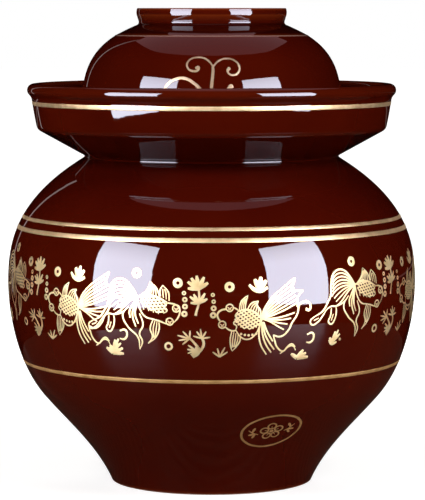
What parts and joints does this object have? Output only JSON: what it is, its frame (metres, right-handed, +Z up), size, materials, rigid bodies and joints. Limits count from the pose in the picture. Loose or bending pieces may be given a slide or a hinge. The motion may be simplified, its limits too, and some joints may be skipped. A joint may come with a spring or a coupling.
{
  "type": "fermentation crock",
  "caption": "Bellied water-seal fermentation crock with a moat round the neck, a bowl lid that stands in the moat, an inner lid and half-moon pressing stones, with gilt lines.",
  "frame": {"origin": "centre of the foot, on the surface that the crock stands on", "axes": "+Z up along the axis of the jar, -Y towards the picture's front, +X to the right of it"},
  "size_m": [0.259, 0.259, 0.3],
  "materials": {
    "red_brown_glaze": "glossy",
    "gilding": "satin",
    "inner_lid_glaze": "glossy",
    "pressing_stone": "matte"
  },
  "bodies": {
    "jar": {"jar": "red_brown_glaze", "moat_gilt_band": "gilding", "shoulder_gilt_line_upper": "gilding", "shoulder_gilt_line_lower": "gilding", "belly_gilt_line": "gilding"},
    "lid": {"lid": "red_brown_glaze"},
    "inner_lid": {"inner_lid": "inner_lid_glaze"},
    "weight_left": {"weight_left": "pressing_stone"},
    "weight_right": {"weight_right": "pressing_stone"}
  },
  "joints": [
    {"name": "lid_lift", "type": "slide", "parent": "jar", "child": "lid", "axis": [0, 0, 1], "range_m": [0, 0.3]},
    {"name": "inner_lid_lift", "type": "slide", "parent": "jar", "child": "inner_lid", "axis": [0, 0, 1], "range_m": [0, 0.18]},
    {"name": "weight_left_lift", "type": "slide", "parent": "jar", "child": "weight_left", "axis": [0, 0, 1], "range_m": [0, 0.249]},
    {"name": "weight_right_lift", "type": "slide", "parent": "jar", "child": "weight_right", "axis": [0, 0, 1], "range_m": [0, 0.249]}
  ],
  "couplings": [
    {"joint": "inner_lid_lift", "follows": "lid_lift", "ratio": 0.6},
    {"joint": "weight_left_lift", "follows": "lid_lift", "ratio": 0.83},
    {"joint": "weight_right_lift", "follows": "lid_lift", "ratio": 0.83}
  ]
}
